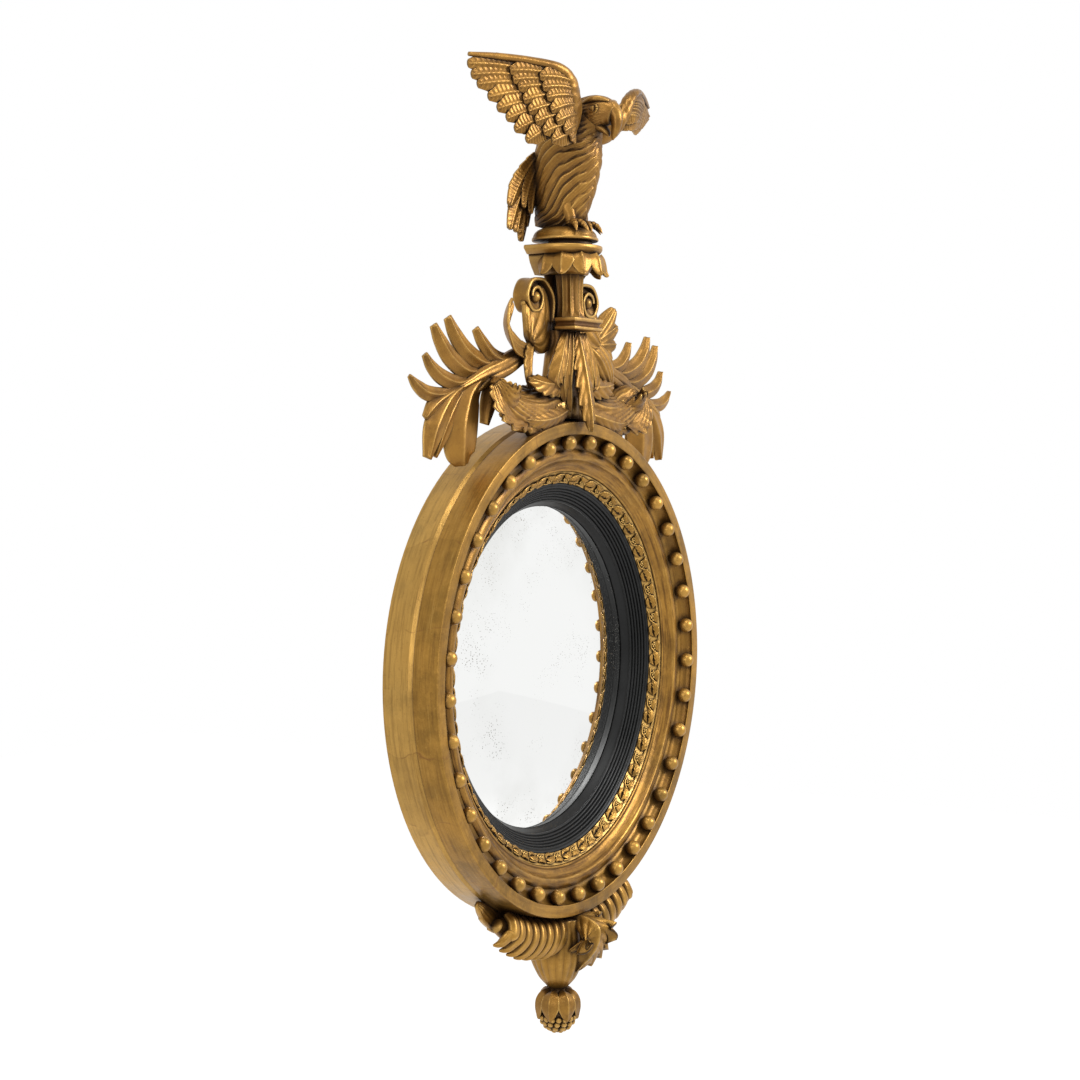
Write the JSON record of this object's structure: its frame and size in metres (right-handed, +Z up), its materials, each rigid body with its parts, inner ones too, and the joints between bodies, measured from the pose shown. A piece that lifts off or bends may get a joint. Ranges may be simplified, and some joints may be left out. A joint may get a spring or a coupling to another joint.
{
  "type": "girandole mirror",
  "caption": "Round wall mirror with a domed glass in a deep gilt frame set with balls, under an eagle crest with palm fronds and over a carved leaf pendant.",
  "frame": {"origin": "middle of the round frame on the wall plane, on the backboard's back face", "axes": "+Z up towards the eagle; +Y into the wall, so the glass faces -Y; +X to the right seen from the front"},
  "size_m": [0.6185, 0.1294, 1.1903],
  "materials": {
    "gilt_wood": "water gilded, rubbed",
    "black_slip": "ebonised, satin",
    "mirror_glass": "silvered, lightly foxed",
    "bare_wood": "unfinished pine",
    "steel": "satin",
    "felt": "matt"
  },
  "bodies": {
    "frame": {"acanthus_left": "gilt_wood", "acanthus_right": "gilt_wood", "back_hoop": "gilt_wood", "backboard": "bare_wood", "backboard_screws": "steel", "berry_cluster": "gilt_wood", "bud": "gilt_wood", "cap_moulding": "gilt_wood", "carcass_ring": "bare_wood", "crest_dowels": "bare_wood", "crest_saddle": "gilt_wood", "crest_shaft": "gilt_wood", "eagle_body": "gilt_wood", "eagle_tail": "gilt_wood", "eagle_wing_left": "gilt_wood", "eagle_wing_right": "gilt_wood", "fan_leaf_left": "gilt_wood", "fan_leaf_right": "gilt_wood", "fluted_column": "gilt_wood", "front_hoop": "gilt_wood", "front_leaf": "gilt_wood", "gilt_balls": "gilt_wood", "glass_packing": "felt", "hanger_screws": "steel", "hanger_strap_left": "steel", "hanger_strap_right": "steel", "leaf_collar": "gilt_wood", "mirror_glass": "mirror_glass", "neck_disc": "gilt_wood", "ogee_moulding": "gilt_wood", "ornament_band": "gilt_wood", "palm_frond_left": "gilt_wood", "palm_frond_right": "gilt_wood", "pendant_bracket": "gilt_wood", "pendant_cup": "gilt_wood", "pendant_curl_left": "gilt_wood", "pendant_curl_right": "gilt_wood", "pendant_dowels": "bare_wood", "pendant_leaf": "gilt_wood", "reeded_slip": "black_slip", "rock_mound": "gilt_wood", "shaft_leaves": "gilt_wood", "shelf_moulding": "gilt_wood", "volute_left": "gilt_wood", "volute_right": "gilt_wood", "wing_dowels": "bare_wood"},
    "hanger_ring_left": {"hanger_ring_left": "steel"},
    "hanger_ring_right": {"hanger_ring_right": "steel"}
  },
  "joints": [
    {"name": "ring_left_swing", "type": "hinge", "parent": "frame", "child": "hanger_ring_left", "pos_m": [-0.185, -0.004, 0.19], "axis": [1, 0, 0], "range_deg": [0, 180]},
    {"name": "ring_right_swing", "type": "hinge", "parent": "frame", "child": "hanger_ring_right", "pos_m": [0.185, -0.004, 0.19], "axis": [1, 0, 0], "range_deg": [0, 180]}
  ]
}
